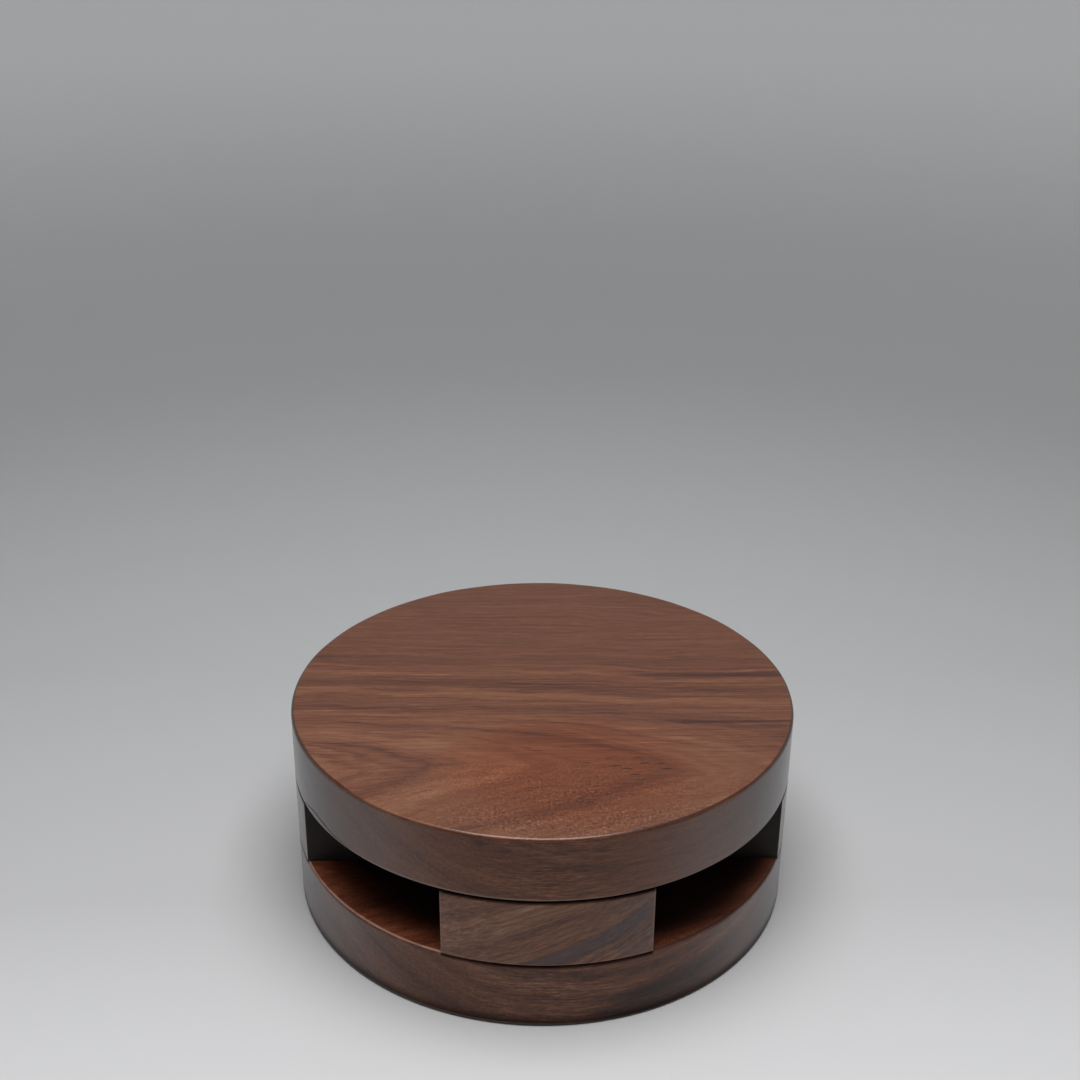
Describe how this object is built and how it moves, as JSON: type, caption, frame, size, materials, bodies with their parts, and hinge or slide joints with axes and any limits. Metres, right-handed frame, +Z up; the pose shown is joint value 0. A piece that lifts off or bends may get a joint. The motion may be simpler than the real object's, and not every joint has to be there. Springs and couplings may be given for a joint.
{
  "type": "sculpting turntable",
  "caption": "Round wooden tabletop turntable: a thick disc spins on a hidden ball-bearing spindle above a disc base with spacer blocks.",
  "frame": {"origin": "on the spin axis, in the plane that the rubber feet stand on", "axes": "+Z up along the spin axis; -Y towards the front spacer block"},
  "size_m": [0.3, 0.3, 0.1232],
  "materials": {
    "walnut_top": "oiled walnut, satin, straight grain running into cathedral figure",
    "walnut_base": "oiled walnut, satin, darker than the top",
    "walnut_blocks": "oiled walnut, satin, slanting stripes",
    "beech": "plain fluted beech dowel",
    "black_rubber": "moulded black rubber",
    "black_plastic": "matt black moulded plastic",
    "cast_aluminium": "cast, turned on its faces",
    "mild_steel": "turned and ground steel",
    "bearing_steel": "polished bearing steel",
    "cage_nylon": "natural nylon",
    "zinc_plated_screws": "zinc plated",
    "black_oxide_screws": "black oxide",
    "brass": "turned brass"
  },
  "bodies": {
    "base": {"base_disc": "walnut_base", "front_block": "walnut_blocks", "right_block": "walnut_blocks", "back_block": "walnut_blocks", "left_block": "walnut_blocks", "block_screws": "zinc_plated_screws", "block_dowels": "beech", "foot_pads": "black_rubber", "foot_screws": "zinc_plated_screws", "access_cap": "black_plastic", "bearing_housing": "cast_aluminium", "housing_screws": "black_oxide_screws", "housing_inserts": "brass", "upper_outer_race": "bearing_steel", "lower_outer_race": "bearing_steel", "upper_shields": "bearing_steel", "lower_shields": "bearing_steel"},
    "platform": {"top_disc": "walnut_top", "flange_plate": "mild_steel", "plate_screws": "zinc_plated_screws", "spindle": "mild_steel", "upper_inner_race": "bearing_steel", "lower_inner_race": "bearing_steel", "inner_sleeve": "mild_steel", "end_washer": "zinc_plated_screws", "spring_washer": "black_oxide_screws", "retaining_bolt": "zinc_plated_screws"},
    "upper_ball_set": {"upper_balls": "bearing_steel", "upper_cage": "cage_nylon"},
    "lower_ball_set": {"lower_balls": "bearing_steel", "lower_cage": "cage_nylon"}
  },
  "joints": [
    {"name": "platform_spin", "type": "hinge", "parent": "base", "child": "platform", "pos_m": [0, 0, 0.0842], "axis": [0, 0, 1], "continuous": true},
    {"name": "upper_ball_set_spin", "type": "hinge", "parent": "base", "child": "upper_ball_set", "pos_m": [0, 0, 0.074], "axis": [0, 0, 1], "continuous": true},
    {"name": "lower_ball_set_spin", "type": "hinge", "parent": "base", "child": "lower_ball_set", "pos_m": [0, 0, 0.051], "axis": [0, 0, 1], "continuous": true}
  ],
  "couplings": [
    {"joint": "upper_ball_set_spin", "follows": "platform_spin", "ratio": 0.38152},
    {"joint": "lower_ball_set_spin", "follows": "platform_spin", "ratio": 0.38152}
  ]
}
